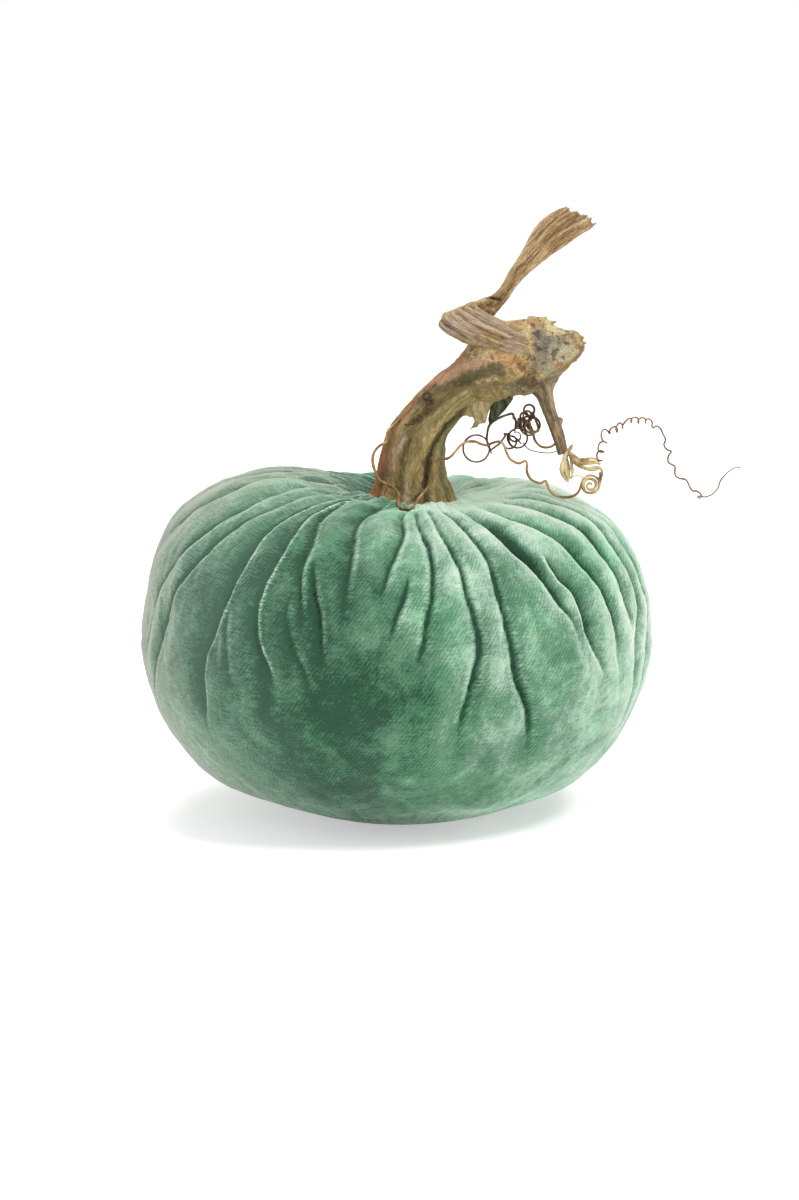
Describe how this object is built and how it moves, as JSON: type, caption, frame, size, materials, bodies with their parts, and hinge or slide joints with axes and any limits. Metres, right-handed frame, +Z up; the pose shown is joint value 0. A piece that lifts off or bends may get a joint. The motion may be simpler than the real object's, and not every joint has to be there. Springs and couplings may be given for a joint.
{
  "type": "stuffed velvet pumpkin",
  "caption": "Plump pleated velvet pumpkin, weighted and fibre filled, topped with a dried pumpkin stem, vine stub and curling tendrils.",
  "frame": {"origin": "centre of the flat patch under the cushion that it rests on", "axes": "+Z up, front towards -Y, and +X to the right seen from the front, the way the vine and its long tendril reach"},
  "size_m": [0.1807, 0.1544, 0.1831],
  "materials": {
    "velvet": "cut pile, sea green",
    "filling": "loose polyester fibre",
    "muslin": "plain weave, undyed",
    "pellets": "translucent granules",
    "thread": "waxed",
    "hot_melt": "set hot-melt glue",
    "dried_stem": "ribbed, unvarnished",
    "dried_node": "weathered, grey stains",
    "dried_bark": "fibrous straw",
    "bark_inside": "dark torn fibres",
    "dried_tendril": "smooth, brittle"
  },
  "bodies": {
    "cushion": {"velvet_cover": "velvet", "polyester_filling": "filling", "weight_bag": "muslin", "weight_pellets": "pellets", "bag_tie": "thread", "gather_thread": "thread"},
    "stem": {"glue_pad": "hot_melt", "pumpkin_stem": "dried_stem", "vine_node": "dried_node", "leaf_stalk": "dried_stem", "folded_vine": "dried_bark", "vine_blade": "dried_bark", "stalk_sheath": "dried_bark", "sheath_fibre_upper": "dried_bark", "sheath_fibre_lower": "dried_bark", "bark_flap_light": "dried_bark", "bark_flap_dark": "bark_inside", "stem_curl_tendril": "dried_tendril", "looping_tendril": "dried_tendril", "tangled_tendril": "dried_tendril"},
    "tendril_coil": {"spring_tendril": "dried_tendril"},
    "tendril_end": {"tendril_tip": "dried_tendril"}
  },
  "joints": [
    {"name": "stem_lean", "type": "hinge", "parent": "cushion", "child": "stem", "pos_m": [0.005, 0, 0.09], "axis": [0, 1, 0], "range_deg": [-5, 4], "stiffness_Nm_per_rad": 0.5},
    {"name": "tendril_bob", "type": "hinge", "parent": "stem", "child": "tendril_coil", "pos_m": [0.0605, -0.01, 0.1088], "axis": [0, 1, 0], "range_deg": [-12, 12], "stiffness_Nm_per_rad": 0.0008},
    {"name": "tendril_tip_sway", "type": "hinge", "parent": "tendril_coil", "child": "tendril_end", "pos_m": [0.075, -0.012, 0.1204], "axis": [0, 0, 1], "range_deg": [-15, 15], "stiffness_Nm_per_rad": 0.0003}
  ]
}
